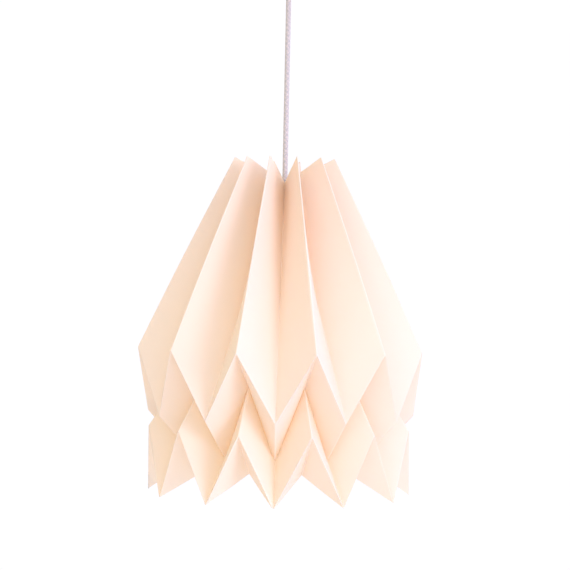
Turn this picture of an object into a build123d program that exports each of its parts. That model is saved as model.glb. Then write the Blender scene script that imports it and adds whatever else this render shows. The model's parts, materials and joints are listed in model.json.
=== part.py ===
from build123d import *
from math import cos, hypot, radians, sin, sqrt
import os

os.makedirs("parts", exist_ok=True)

# A folded paper pendant shade on its textile cord, hanging from a ceiling rose. Millimetres, +Z up.
# The origin is on the ceiling, on the axis of the rose; everything hangs below it.

# ---------------------------------------------------------------- driving dimensions
pleats = 12
square = 55.0  # side of one square of the crease grid
shoulder_r = 150.0  # radius of the upper ring of outer points
neck_r = 4.2  # radius of the valley folds at the top edge
neck_drop = 24.6  # top of a valley fold below the top of a ridge fold
long_squares = 4  # squares in a ridge fold above the first zigzag
paper_t = 0.3
ridge_w = 1.0  # blunt width of a ridge fold
valley_w = 0.6  # blunt width of a valley fold
flap_w = 12.0
glue_t = 0.1
corner_stiffness = 0.004  # keeps a nearly flat corner from sliding along its panels

string_d = 1.0
string_hole_d = 1.7
string_hole_reach = 2.7  # each side of a valley fold
string_below = 8.0  # neck string below the top of the valley folds
string_out = 1.9  # neck string outside the valley folds
knot_r = 1.15
string_touch = 0.05
tail_len = 16.0
tail_r = 0.4
tail_apart = 1.0
tail_lean = 0.6  # outward lean of the knot's tails, for each unit that they drop

cord_d = 5.5
cord_free = 202.0  # cord between the ceiling rose and the shade
cord_play = 0.25  # between the cord and a hole that it passes through
bend_gap = 0.1
bend_start = 1.8  # hanging cord's top below the centre of its bend
wire_d = 1.8
wire_bend_r = 1.6
edge_break = 0.8
slot_share = 0.35  # width of a screw's slot against its head's radius
wire_apart = 2.4  # between the two conductors' centres where they leave the sheath
hole_past = 1.0  # how far a drilled hole's tool runs past the faces

rose_r = 45.0
rose_h = 38.0
rose_wall = 1.0
rose_corner_r = 9.0
bracket_w = 14.0
bracket_t = 1.5
bracket_play = 0.4
tab_h = 14.0
slot_at = 28.0
slot_len = 12.0
slot_w = 4.5
supply_hole_r = 6.0
side_screw_d = 3.5
side_screw_drop = 8.0
side_screw_head_r = 3.2
side_screw_head_t = 1.8
side_screw_len = 9.0
screw_play = 0.1

nipple_d = 10.0
nipple_up = 12.0
grip_flange_r = 8.0
grip_flange_t = 3.0
grip_body_r = 6.5
grip_body_h = 9.0
mouth_h = 2.2
mouth_r = 5.4
nut_flats = 14.0
nut_h = 4.0
thread_play = 0.05
set_screw_d = 3.0
set_screw_up = 5.5  # set screw above the grip's lower face
set_screw_proud = 0.6
tail_top = 22.0  # top of the sheath below the ceiling
rise_turns = (0.25, 0.875)  # where a rose conductor bends, as shares of its rise to the terminal block
run_turns = (1 / 3, 2 / 3)  # the same bends as shares of its run along X
aside_turn = 2 / 3  # the first bend's share of the barrel's distance to the side

block_x = 14.5
block_len = 13.0
block_w = 20.0
block_h = 11.0
barrel_y = 5.5
barrel_r = 2.4
barrel_bore_r = 1.5
barrel_len = 11.0
barrel_drop = 5.5  # barrel axis below the block's upper face
barrel_fit = 0.05
clamp_screw_d = 2.5
block_screw_d = 3.0
block_screw_head_r = 2.6
block_screw_head_t = 1.6

cap_top_r = 6.5
cap_r = 20.0
cap_wall = 2.0
seat_gap = 0.3
saddle_h = 6.0
saddle_room_r = 9.24  # inside of the cap at the top of the cord clamp
sheath_past_saddle = 2.0
holder_fall = 9.16  # from the sheath's end to the top of the terminals
holder_turns = (0.3, 0.65)  # where a conductor bends outwards and down again, as shares of the fall
saddle_y = 4.5
saddle_split = 0.5
saddle_x = 7.6
saddle_bar_t = 3.2
saddle_gap = 0.15
saddle_screw_d = 2.5
saddle_screw_at = 5.4
saddle_head_r = 2.0
saddle_head_t = 1.4

skirt_step = 1.0  # skirt inside the cap's outer face
skirt_wall = 2.0
skirt_thread_h = 8.0
skirt_fit = 0.1
ledge_t = 2.0
insert_h = 11.0
insert_fit = 0.15
shell_wall = 0.5
shell_len = 20.0
shell_gap = 0.3
shell_ledge_gap = 0.4
strip_t = 0.5
strip_w = 5.0
shell_eye_r = 6.5
skirt_lip = 6.0  # skirt below the screw shell
contact_drop = 2.2
tongue_r = 5.0
post_r = 1.2
post_x = 3.7
shell_post_x = 9.8
terminal_x = 10.0
terminal_side = 5.0
terminal_h = 4.5
terminal_screw_d = 2.0
terminal_head_r = 1.6
terminal_head_t = 1.2

bulb_cap_r = 13.1
bulb_cap_len = 22.0
bulb_cap_wall = 0.4
insulator_h = 4.0
insulator_top_r = 6.0
insulator_low_r = 11.0
tip_r = 4.5
tip_h = 1.2
contact_gap = 0.1
housing_h = 36.0
housing_top_r = 14.2
housing_low_r = 28.5
housing_wall = 1.5
housing_waist_h = 8.0
housing_waist_r = 17.0
collar_h = 4.0
globe_r = 30.0
globe_wall = 1.2
globe_lap = 2.5
globe_fit = 0.1
globe_shoulder = 12.0  # widest part of the globe below the housing
lap_wall = 1.6
board_play = 0.2
board_t = 1.6
chips = 10
chip_ring_r = 17.0
chip_side = 3.5
chip_t = 0.7
chip_corner_r = 0.4
driver_w = 18.0
driver_len = 26.0
driver_t = 1.6
driver_part_h = 5.0
driver_choke = (-3.6, 6.5, 6.0, 6.5)  # centre across and up, width and height on the driver board
driver_capacitor = (3.6, 13.0, 4.5, 8.6)

# ---------------------------------------------------------------- crease lattice of the shade
half_step = 180.0 / pleats
cord_r = cord_d / 2
wire_r = wire_d / 2


def radial(angle, r, z, aside=0.0):
    """Point at a radius and height in the radial plane at an angle, and a distance to its left."""
    along = Vector(cos(radians(angle)), sin(radians(angle)), 0)
    across = Vector(-along.Y, along.X, 0)
    return along * r + across * aside + Vector(0, 0, z)


def reach(angle, a, from_a, b, from_b, outer):
    """(r, z) of the point in a radial plane at given distances from two points."""
    along = radial(angle, 1, 0)
    across = radial(angle, 0, 0, 1)
    ar, az, an = a.dot(along), a.Z, a.dot(across)
    br, bz, bn = b.dot(along), b.Z, b.dot(across)
    qa = from_a**2 - an**2
    qb = from_b**2 - bn**2
    gap = hypot(br - ar, bz - az)
    run = (gap**2 + qa - qb) / (2 * gap)
    rise = sqrt(qa - run**2)
    ur, uz = (br - ar) / gap, (bz - az) / gap
    both = [(ar + ur * run - side * uz * rise, az + uz * run + side * ur * rise) for side in (1, -1)]
    return max(both) if outer else min(both)


grip_face_z = -(rose_h + grip_flange_t + grip_body_h)
bend_z = grip_face_z
valley_top_z = bend_z - cord_free
ridge_top_z = valley_top_z + neck_drop

# A ridge fold runs top, shoulder, first tuck, lower shoulder, second tuck. A valley fold runs top,
# first point, second tuck, bottom point. Every stretch is a whole number of squares, or a diagonal.
diagonal = square * sqrt(2)
neck_side = neck_r * sin(radians(half_step))
ridge_top_r = neck_r * cos(radians(half_step)) + sqrt(square**2 - neck_drop**2 - neck_side**2)
shoulder_drop = sqrt((long_squares * square) ** 2 - (shoulder_r - ridge_top_r) ** 2)
RIDGE = [(ridge_top_r, ridge_top_z), (shoulder_r, ridge_top_z - shoulder_drop)]
VALLEY = [(neck_r, valley_top_z)]


def on_ridge(index):
    return radial(0, *RIDGE[index])


def on_valley(index):
    return radial(half_step, *VALLEY[index])


first_point = [
    reach(half_step, on_valley(0), (long_squares + 1) * square, on_ridge(1), diagonal, outer)
    for outer in (True, False)
]
VALLEY.append(min(first_point, key=lambda point: point[1]))
RIDGE.append(reach(0, on_ridge(1), square, on_valley(1), square, False))
VALLEY.append(reach(half_step, on_valley(1), square, on_ridge(2), diagonal, False))
RIDGE.append(reach(0, on_ridge(2), square, on_valley(2), square, True))
VALLEY.append(reach(half_step, on_valley(2), square, on_ridge(3), diagonal, True))
RIDGE.append(reach(0, on_ridge(3), square, on_valley(3), square, False))

valley_slope = (VALLEY[1][0] - VALLEY[0][0]) / (VALLEY[0][1] - VALLEY[1][1])


def valley_r(z):
    """Radius of the valley folds above their first point."""
    return neck_r + (valley_top_z - z) * valley_slope


# ---------------------------------------------------------------- the two folded sheets
# A column holds the corners of one fold edge from the top of the sheet to the bottom, and its place
# across the panel: 0 on a valley fold and 1 on a ridge fold. A valley ends one corner early.
def column(kind, angle, aside):
    if kind == "ridge":
        return 1.0, [radial(angle, r, z, aside) for r, z in RIDGE]
    points = [radial(angle, r, z, aside) for r, z in VALLEY]
    return 0.0, points + points[-1:]


def between(near, far, share):
    """Column at a share of the way from a valley to a ridge."""
    return share, [n + (f - n) * share for n, f in zip(near[1], far[1])]


def bands(left, right):
    """Triangles between two columns as (side, row) corners, anticlockwise from outside the shade.

    A panel bends from its upper valley corner to its lower ridge corner.
    """
    found = []
    for row in range(len(left[1]) - 1):
        a, b = (0, row), (1, row)
        c, d = (1, row + 1), (0, row + 1)
        left_ends = left[1][row] == left[1][row + 1]
        right_ends = right[1][row] == right[1][row + 1]
        if left_ends and right_ends:
            continue
        if left_ends:
            found.append((a, c, b))
        elif right_ends:
            found.append((a, d, b))
        elif left[0] <= right[0]:
            found += [(a, c, b), (a, d, c)]
        else:
            found += [(a, d, b), (b, d, c)]
    return found


def determinant(m):
    return (
        m[0][0] * (m[1][1] * m[2][2] - m[1][2] * m[2][1])
        - m[0][1] * (m[1][0] * m[2][2] - m[1][2] * m[2][0])
        + m[0][2] * (m[1][0] * m[2][1] - m[1][1] * m[2][0])
    )


def common_shift(normals, depth):
    """Shift of a corner that moves all its faces by a depth, as nearly as they allow."""
    rows = [(n.X, n.Y, n.Z) for n in normals]
    grid = range(3)
    matrix = [[sum(r[i] * r[j] for r in rows) + corner_stiffness * (i == j) for j in grid] for i in grid]
    wanted = [sum(r[i] for r in rows) * depth for i in grid]
    whole = determinant(matrix)
    shift = []
    for axis in grid:
        swapped = [[wanted[i] if j == axis else matrix[i][j] for j in grid] for i in grid]
        shift.append(determinant(swapped) / whole)
    return Vector(*shift)


def sheet_faces(cols):
    """Triangles of a sheet as (column, row) corners; a fold that ends early has one name for its end."""
    faces = []
    for i in range(len(cols) - 1):
        for triangle in bands(cols[i], cols[i + 1]):
            corners = []
            for side, row in triangle:
                points = cols[i + side][1]
                ends = row == len(points) - 1 and points[row] == points[row - 1]
                corners.append((i + side, row - 1 if ends else row))
            faces.append(tuple(corners))
    return faces


def shifts(cols, faces, depth):
    """Shift of every corner of a sheet that moves its faces outwards by a depth."""
    around = {}
    for face in faces:
        a, b, c = [cols[i][1][j] for i, j in face]
        normal = (b - a).cross(c - a).normalized()
        for corner in face:
            around.setdefault(corner, []).append(normal)
    return {corner: common_shift(normals, depth) for corner, normals in around.items()}


def panel_columns(start):
    """Columns of one sheet over half the shade. The first panel has one more, over the flap's edge."""
    cols = []
    for step in range(pleats // 2):
        at = start + 2 * half_step * step
        cols.append(column("valley", at, valley_w / 2))
        ridge = column("ridge", at + half_step, -ridge_w / 2)
        if step == 0:
            cols.append(between(cols[0], ridge, flap_w / square))
        cols.append(ridge)
        cols.append(column("ridge", at + half_step, ridge_w / 2))
        cols.append(column("valley", at + 2 * half_step, -valley_w / 2))
    return cols


def flap_columns(start):
    """Columns of the flap that is glued behind the first panel of the sheet that starts there."""
    near = column("valley", start, valley_w / 2)
    free = between(near, column("ridge", start + half_step, -ridge_w / 2), flap_w / square)
    behind = shifts([near, free], sheet_faces([near, free]), -(paper_t + glue_t))
    flap = []
    for i, (place, points) in enumerate((near, free)):
        last = max(row for col, row in behind if col == i)
        flap.append((place, [p + behind[(i, min(row, last))] for row, p in enumerate(points)]))
    return flap


def folded_sheet(start):
    """Closed solid of one folded sheet with its paper's thickness."""
    cols = panel_columns(start) + flap_columns(start + 180.0)
    triangles = sheet_faces(cols)
    outward = shifts(cols, triangles, paper_t / 2)
    outer = {(i, j): cols[i][1][j] + shift for (i, j), shift in outward.items()}
    inner = {(i, j): cols[i][1][j] - shift for (i, j), shift in outward.items()}
    faces = []
    for a, b, c in triangles:
        faces.append((outer[a], outer[b], outer[c]))
        faces.append((inner[a], inner[c], inner[b]))
    edges = {(t[k], t[(k + 1) % 3]) for t in triangles for k in range(3)}
    for a, b in sorted(edges):
        if (b, a) not in edges:
            faces.append((outer[a], inner[a], inner[b]))
            faces.append((outer[a], inner[b], outer[b]))
    return Solid(Shell([Face(Wire.make_polygon(corners, close=True)) for corners in faces]))


string_z = valley_top_z - string_below
string_r = valley_r(string_z) + string_out


def build_sheet(start):
    """One sheet with the holes that its neck string passes through."""
    with BuildPart() as sheet:
        add(folded_sheet(start))
        for step in range(pleats // 2 + 1):
            at = start + 2 * half_step * step
            centre = radial(at, string_r, string_z)
            drill = Plane(origin=centre, x_dir=(0, 0, 1), z_dir=radial(at, 0, 0, 1))
            with BuildSketch(drill):
                Circle(string_hole_d / 2)
            extrude(amount=string_hole_reach, both=True, mode=Mode.SUBTRACT)
    return sheet


shade_sheet_front = build_sheet(-180.0)
shade_sheet_back = build_sheet(0.0)

with BuildPart() as neck_string:
    with BuildSketch(Plane.XZ):
        with Locations((string_r, string_z)):
            Circle(string_d / 2)
    revolve(axis=Axis.Z)

# The knot lies against the string in the rear valley, and its two tails hang down in the fold.
knot_centre = radial(90.0, string_r + string_d / 2 + knot_r + string_touch, string_z)
with BuildPart() as neck_knot:
    with Locations(Location(knot_centre)):
        Sphere(knot_r)
    for aside in (-tail_apart / 2, tail_apart / 2):
        with BuildSketch(Plane(origin=knot_centre + Vector(aside, 0, 0), z_dir=(0, tail_lean, -1))):
            Circle(tail_r)
        extrude(amount=tail_len)


# ---------------------------------------------------------------- shared shapes
def spin(*points, mode=Mode.ADD):
    """Solid of revolution about the lamp's axis from (radius, height) points."""
    with BuildSketch(Plane.XZ) as profile:
        with BuildLine():
            Polyline(*points, close=True)
        make_face()
    revolve(profile.sketch, axis=Axis.Z, mode=mode)


def disc(r, low, high, mode=Mode.ADD):
    """Round plate or round hole on the lamp's axis."""
    with BuildSketch(Plane.XY.offset(low)) as profile:
        Circle(r)
    extrude(profile.sketch, amount=high - low, mode=mode)


def rod(r, start, end, mode=Mode.ADD):
    """Straight round rod or hole between two points."""
    start, end = Vector(start), Vector(end)
    with BuildSketch(Plane(origin=start, z_dir=end - start)) as profile:
        Circle(r)
    extrude(profile.sketch, amount=(end - start).length, mode=mode)


def slotted_screw(tip, head, shank_r, head_r, head_t):
    """Screw from its tip to the underside of its slotted head."""
    tip, head = Vector(tip), Vector(head)
    out = (head - tip).normalized()
    rod(shank_r, tip, head)
    rod(head_r, head, head + out * head_t)
    with BuildSketch(Plane(origin=head + out * head_t, z_dir=out)) as slot:
        Rectangle(2 * head_r, slot_share * head_r)
    extrude(slot.sketch, amount=-head_t / 2, mode=Mode.SUBTRACT)


def wire(points, bend_radii):
    """Insulated conductor along straight runs joined by arcs."""
    with BuildLine() as route:
        FilletPolyline(*points, radius=bend_radii)
    run = route.wires()[0]
    with BuildSketch(Plane(origin=run @ 0, z_dir=run % 0)) as section:
        Circle(wire_r)
    sweep(section.sketch, path=run)


# ---------------------------------------------------------------- ceiling rose
floor_z = -rose_h + rose_wall
nipple_r = nipple_d / 2
nipple_hole_r = nipple_r + screw_play
tab_x = sqrt((rose_r - rose_wall - bracket_play) ** 2 - (bracket_w / 2) ** 2)
side_screw_r = side_screw_d / 2

with BuildPart() as canopy_cup:
    with BuildSketch(Plane.XY):
        Circle(rose_r)
    extrude(amount=-rose_h)
    fillet(canopy_cup.edges().group_by(Axis.Z)[0], rose_corner_r)
    offset(amount=-rose_wall, openings=canopy_cup.faces().sort_by(Axis.Z)[-1])
    disc(nipple_hole_r, -rose_h, floor_z, mode=Mode.SUBTRACT)
    for side in (-1, 1):
        inside = (side * (rose_r - 2 * rose_wall), 0, -side_screw_drop)
        outside = (side * (rose_r + rose_wall), 0, -side_screw_drop)
        rod(side_screw_r + screw_play, inside, outside, Mode.SUBTRACT)

with BuildPart() as mounting_bracket:
    with BuildSketch(Plane.XZ):
        with BuildLine():
            Polyline(
                (-tab_x, 0),
                (tab_x, 0),
                (tab_x, -tab_h),
                (tab_x - bracket_t, -tab_h),
                (tab_x - bracket_t, -bracket_t),
                (-tab_x + bracket_t, -bracket_t),
                (-tab_x + bracket_t, -tab_h),
                (-tab_x, -tab_h),
                close=True,
            )
        make_face()
    extrude(amount=bracket_w / 2, both=True)
    with BuildSketch(Plane.XY):
        with Locations((-slot_at, 0), (slot_at, 0)):
            SlotOverall(slot_len, slot_w)
        Circle(supply_hole_r)
        with Locations((block_x, 0)):
            Circle(block_screw_d / 2)
    extrude(amount=-bracket_t, mode=Mode.SUBTRACT)
    for side in (-1, 1):
        inside = (side * (tab_x - 2 * bracket_t), 0, -side_screw_drop)
        outside = (side * (tab_x + bracket_t), 0, -side_screw_drop)
        rod(side_screw_r + thread_play, inside, outside, Mode.SUBTRACT)

with BuildPart() as canopy_side_screws:
    for side in (-1, 1):
        head = (side * (rose_r + screw_play), 0, -side_screw_drop)
        tip = (side * (rose_r - side_screw_len), 0, -side_screw_drop)
        slotted_screw(tip, head, side_screw_r, side_screw_head_r, side_screw_head_t)

grip_top_z = floor_z + nipple_up
flange_z = -rose_h - grip_flange_t
set_screw_z = grip_face_z + set_screw_up
grip_bore_r = cord_r + cord_play
with BuildPart() as canopy_cord_grip:
    spin(
        (0, grip_top_z),
        (nipple_r, grip_top_z),
        (nipple_r, -rose_h),
        (grip_flange_r, -rose_h),
        (grip_flange_r, flange_z),
        (grip_body_r, flange_z),
        (grip_body_r, grip_face_z),
        (0, grip_face_z),
    )
    chamfer(canopy_cord_grip.edges().group_by(Axis.Z)[0], edge_break)
    rims = canopy_cord_grip.edges().filter_by(GeomType.CIRCLE)
    fillet(rims.filter_by(lambda rim: rim.radius == grip_flange_r), edge_break)
    disc(grip_bore_r, grip_face_z, grip_top_z, mode=Mode.SUBTRACT)
    spin(
        (0, grip_face_z),
        (mouth_r, grip_face_z),
        (grip_bore_r, grip_face_z + mouth_h),
        (0, grip_face_z + mouth_h),
        mode=Mode.SUBTRACT,
    )
    rod(set_screw_d / 2 + thread_play, (0, 0, set_screw_z), (0, -grip_flange_r, set_screw_z), Mode.SUBTRACT)

with BuildPart() as grip_locknut:
    with BuildSketch(Plane.XY.offset(floor_z)):
        RegularPolygon(nut_flats / 2, 6, major_radius=False)
        Circle(nipple_r + thread_play, mode=Mode.SUBTRACT)
    extrude(amount=nut_h)

with BuildPart() as grip_set_screw:
    inner_end = -(cord_r + thread_play)
    outer_end = -(grip_body_r + set_screw_proud)
    rod(set_screw_d / 2, (0, inner_end, set_screw_z), (0, outer_end, set_screw_z))
    with BuildSketch(Plane.XZ.offset(-outer_end)):
        with Locations((0, set_screw_z)):
            Rectangle(set_screw_d, slot_share * set_screw_d / 2)
    extrude(amount=-set_screw_proud, mode=Mode.SUBTRACT)

# The sheath is held by the set screw, and its end inside the rose gives two conductors.
with BuildPart() as cord_tail:
    disc(cord_r, bend_z + cord_r + bend_gap, -tail_top)

block_low_z = -bracket_t - block_h
barrel_z = -bracket_t - barrel_drop
block_face_x = block_x - block_len / 2
with BuildPart() as terminal_block:
    with BuildSketch(Plane.XY.offset(block_low_z)):
        with Locations((block_x, 0)):
            RectangleRounded(block_len, block_w, edge_break)
    extrude(amount=block_h)
    for side in (-1, 1):
        start = (block_x - block_len, side * barrel_y, barrel_z)
        rod(barrel_r + barrel_fit, start, (block_x + block_len, side * barrel_y, barrel_z), Mode.SUBTRACT)
        for step in (-1, 1):
            x = block_x + step * barrel_len / 4
            top = (x, side * barrel_y, barrel_z)
            rod(clamp_screw_d / 2 + screw_play, top, (x, side * barrel_y, block_low_z), Mode.SUBTRACT)
    rod(block_screw_d / 2 + screw_play, (block_x, 0, -bracket_t), (block_x, 0, block_low_z), Mode.SUBTRACT)

with BuildPart() as terminal_barrels:
    for side in (-1, 1):
        start = Vector(block_x - barrel_len / 2, side * barrel_y, barrel_z)
        end = Vector(block_x + barrel_len / 2, side * barrel_y, barrel_z)
        rod(barrel_r, start, end)
        rod(barrel_bore_r, start, end, Mode.SUBTRACT)
        for step in (-1, 1):
            x = block_x + step * barrel_len / 4
            top = (x, side * barrel_y, barrel_z)
            rod(clamp_screw_d / 2, top, (x, side * barrel_y, block_low_z), Mode.SUBTRACT)

with BuildPart() as terminal_block_screws:
    for side in (-1, 1):
        for step in (-1, 1):
            x = block_x + step * barrel_len / 4
            top = (x, side * barrel_y, barrel_z - barrel_bore_r - barrel_fit)
            rod(clamp_screw_d / 2 - thread_play, top, (x, side * barrel_y, block_low_z + edge_break))

with BuildPart() as block_fixing_screw:
    shank_r = block_screw_d / 2 - thread_play
    slotted_screw((block_x, 0, 0), (block_x, 0, block_low_z), shank_r, block_screw_head_r, block_screw_head_t)


def rose_conductor(side):
    """Conductor from the sheath's end to its barrel in the terminal block."""
    low_z = -tail_top
    rise = barrel_z - low_z
    wire(
        [
            (0, side * wire_apart / 2, low_z),
            (0, side * wire_apart / 2, low_z + rise * rise_turns[0]),
            (block_face_x * run_turns[0], side * barrel_y * aside_turn, low_z + rise * rise_turns[1]),
            (block_face_x * run_turns[1], side * barrel_y, barrel_z),
            (block_x - barrel_len / 2 - thread_play, side * barrel_y, barrel_z),
        ],
        bend_radii=wire_bend_r,
    )


with BuildPart() as rose_conductor_live:
    rose_conductor(1)
with BuildPart() as rose_conductor_neutral:
    rose_conductor(-1)

# ---------------------------------------------------------------- cord between rose and lampholder
cone_slope = valley_slope
seat_back = paper_t / 2 * sqrt(1 + cone_slope**2) + paper_t + glue_t + seat_gap


def seat_z(r):
    """Height at which the lampholder's cone has a radius and clears the valley folds."""
    return valley_top_z - (r + seat_back - neck_r) / cone_slope


cap_top_z = seat_z(cap_top_r)
cone_low_z = seat_z(cap_r)
wall_aside = cap_wall * sqrt(1 + cone_slope**2)
saddle_top_z = cap_top_z - (saddle_room_r + wall_aside - cap_top_r) / cone_slope
saddle_low_z = saddle_top_z - saddle_h
sheath_end_z = saddle_low_z - sheath_past_saddle
terminal_top_z = sheath_end_z - holder_fall
terminal_low_z = terminal_top_z - terminal_h
terminal_mid_z = (terminal_low_z + terminal_top_z) / 2
insert_top_z = terminal_low_z - strip_t
ledge_z = insert_top_z - insert_h
cap_low_z = ledge_z + ledge_t

# The cord bends at the mouth of the grip. A ball of its own thickness stands for the bend.
with BuildPart() as cord_bend:
    with Locations((0, 0, bend_z)):
        Sphere(cord_r)

with BuildPart() as textile_cord:
    disc(cord_r, sheath_end_z, bend_z - bend_start)
    with Locations((0, 0, bend_z)):
        Sphere(cord_r + bend_gap / 2, mode=Mode.SUBTRACT)

# ---------------------------------------------------------------- lampholder
cavity_top_z = cap_top_z - cap_wall
thread_r = cap_r - cap_wall
cone_inner_top_r = cap_top_r + (cap_top_z - cavity_top_z) * cone_slope - wall_aside
cone_inner_low_z = cone_low_z + (wall_aside - cap_wall) / cone_slope
with BuildPart() as holder_cap:
    spin((0, cap_top_z), (cap_top_r, cap_top_z), (cap_r, cone_low_z), (cap_r, cap_low_z), (0, cap_low_z))
    spin(
        (0, cavity_top_z),
        (cone_inner_top_r, cavity_top_z),
        (thread_r, cone_inner_low_z),
        (thread_r, cap_low_z),
        (0, cap_low_z),
        mode=Mode.SUBTRACT,
    )
    disc(cord_r + cord_play, cavity_top_z, cap_top_z, mode=Mode.SUBTRACT)

saddle_mid_z = (saddle_top_z + saddle_low_z) / 2


def saddle_block(near, far, hole_r):
    """Half of the cord clamp, between two distances from the cord's axis along Y, inside the cone."""
    with BuildSketch(Plane.XY.offset(saddle_low_z)) as outline:
        with Locations((0, (near + far) / 2)):
            Rectangle(2 * saddle_x, abs(far - near))
        Circle(cord_r, mode=Mode.SUBTRACT)
    extrude(outline.sketch, amount=saddle_h)
    for side in (-1, 1):
        x = side * saddle_screw_at
        first = (x, min(near, far) - hole_past, saddle_mid_z)
        rod(hole_r, first, (x, max(near, far) + hole_past, saddle_mid_z), Mode.SUBTRACT)
    spin(
        (0, cavity_top_z),
        (cone_inner_top_r - saddle_gap, cavity_top_z),
        (thread_r - saddle_gap, cone_inner_low_z),
        (0, cone_low_z),
        mode=Mode.INTERSECT,
    )


with BuildPart() as holder_clamp_body:
    saddle_block(saddle_split, cap_r, saddle_screw_d / 2 - thread_play)
with BuildPart() as holder_clamp_bar:
    saddle_block(-saddle_split, -saddle_split - saddle_bar_t, saddle_screw_d / 2 + screw_play)
with BuildPart() as holder_clamp_screws:
    for side in (-1, 1):
        x = side * saddle_screw_at
        tip = (x, saddle_y, saddle_mid_z)
        head = (x, -saddle_split - saddle_bar_t, saddle_mid_z)
        slotted_screw(tip, head, saddle_screw_d / 2 - 2 * thread_play, saddle_head_r, saddle_head_t)

skirt_r = cap_r - skirt_step
shell_r = bulb_cap_r + shell_gap + shell_wall
shell_low_z = ledge_z - shell_len
skirt_low_z = shell_low_z - skirt_lip
with BuildPart() as holder_skirt:
    spin(
        (thread_r - skirt_fit - skirt_wall, cap_low_z + skirt_thread_h),
        (thread_r - skirt_fit, cap_low_z + skirt_thread_h),
        (thread_r - skirt_fit, cap_low_z),
        (skirt_r, cap_low_z),
        (skirt_r, skirt_low_z),
        (skirt_r - skirt_wall, skirt_low_z),
        (skirt_r - skirt_wall, ledge_z - ledge_t),
        (shell_r + shell_ledge_gap, ledge_z - ledge_t),
        (shell_r + shell_ledge_gap, ledge_z),
        (thread_r - skirt_fit - skirt_wall, ledge_z),
    )
    fillet(holder_skirt.edges().group_by(Axis.Z)[0], skirt_wall / 4)

# The insert sits on the skirt's ledge and carries the contacts, the screw shell and the terminals.
insert_r = thread_r - skirt_fit - skirt_wall - insert_fit
with BuildPart() as contact_insert:
    disc(insert_r, ledge_z, insert_top_z)
    for x in (post_x, -shell_post_x):
        rod(post_r + thread_play, (x, 0, ledge_z), (x, 0, insert_top_z), Mode.SUBTRACT)

with BuildPart() as screw_shell:
    disc(shell_r, shell_low_z, ledge_z)
    disc(shell_r - shell_wall, shell_low_z, ledge_z - shell_wall, mode=Mode.SUBTRACT)
    disc(shell_eye_r, ledge_z - shell_wall, ledge_z, mode=Mode.SUBTRACT)


def top_strip(inner_x, outer_x):
    """Brass strip on the insert that carries a terminal."""
    with BuildSketch(Plane.XY.offset(insert_top_z)) as outline:
        with Locations(((inner_x + outer_x) / 2, 0)):
            Rectangle(abs(outer_x - inner_x), strip_w)
    extrude(outline.sketch, amount=strip_t)


tongue_z = ledge_z - contact_drop
with BuildPart() as centre_contact:
    with BuildSketch(Plane.XZ):
        with BuildLine():
            Polyline(
                (tongue_r, ledge_z),
                (tongue_r / 2, ledge_z),
                (-tongue_r / 2, tongue_z + strip_t),
                (-tongue_r, tongue_z + strip_t),
                (-tongue_r, tongue_z),
                (-tongue_r / 2, tongue_z),
                (tongue_r / 2, ledge_z - strip_t),
                (tongue_r, ledge_z - strip_t),
                close=True,
            )
        make_face()
    extrude(amount=strip_w / 2, both=True)
    rod(post_r, (post_x, 0, ledge_z), (post_x, 0, insert_top_z))
    top_strip(post_x - post_r, terminal_x + terminal_side / 2)

with BuildPart() as shell_contact:
    rod(post_r, (-shell_post_x, 0, ledge_z), (-shell_post_x, 0, insert_top_z))
    top_strip(-shell_post_x + post_r, -terminal_x - terminal_side / 2)

wire_hole_r = wire_r + screw_play
with BuildPart() as holder_terminals:
    for side in (-1, 1):
        with BuildSketch(Plane.XY.offset(terminal_low_z)):
            with Locations((side * terminal_x, 0)):
                RectangleRounded(terminal_side, terminal_side, edge_break)
        extrude(amount=terminal_h)
        foot = (side * terminal_x, 0, terminal_low_z + strip_t)
        rod(wire_hole_r, foot, (side * terminal_x, 0, terminal_top_z), Mode.SUBTRACT)
        near = (side * terminal_x, 0, terminal_mid_z)
        far = (side * (terminal_x + terminal_side), 0, terminal_mid_z)
        rod(terminal_screw_d / 2, near, far, Mode.SUBTRACT)

with BuildPart() as holder_terminal_screws:
    for side in (-1, 1):
        tip = (side * (terminal_x + wire_r + thread_play), 0, terminal_mid_z)
        head = (side * (terminal_x + terminal_side / 2), 0, terminal_mid_z)
        slotted_screw(tip, head, terminal_screw_d / 2 - thread_play, terminal_head_r, terminal_head_t)


def holder_conductor(side):
    """Conductor from the sheath's end down into its terminal."""
    wire(
        [
            (side * wire_apart / 2, 0, sheath_end_z),
            (side * wire_apart / 2, 0, sheath_end_z - holder_fall * holder_turns[0]),
            (side * terminal_x, 0, sheath_end_z - holder_fall * holder_turns[1]),
            (side * terminal_x, 0, terminal_low_z + 2 * strip_t),
        ],
        bend_radii=wire_bend_r,
    )


with BuildPart() as holder_conductor_live:
    holder_conductor(1)
with BuildPart() as holder_conductor_neutral:
    holder_conductor(-1)

# ---------------------------------------------------------------- bulb
tip_top_z = tongue_z - contact_gap
insulator_top_z = tip_top_z - tip_h
bulb_cap_top_z = insulator_top_z - insulator_h
bulb_cap_low_z = bulb_cap_top_z - bulb_cap_len
with BuildPart() as bulb_tip_contact:
    disc(tip_r, insulator_top_z, tip_top_z)
    chamfer(bulb_tip_contact.edges().group_by(Axis.Z)[-1], tip_h / 2)

with BuildPart() as bulb_insulator:
    spin(
        (0, insulator_top_z),
        (insulator_top_r, insulator_top_z),
        (insulator_low_r, bulb_cap_top_z),
        (0, bulb_cap_top_z),
    )

bulb_cap_bore_r = bulb_cap_r - bulb_cap_wall
bulb_cap_slant = bulb_cap_r - insulator_low_r
with BuildPart() as bulb_screw_cap:
    disc(bulb_cap_r, bulb_cap_low_z, bulb_cap_top_z)
    chamfer(bulb_screw_cap.edges().group_by(Axis.Z)[-1], bulb_cap_slant)
    disc(bulb_cap_bore_r, bulb_cap_low_z, bulb_cap_top_z - 2 * bulb_cap_slant, mode=Mode.SUBTRACT)

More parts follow.
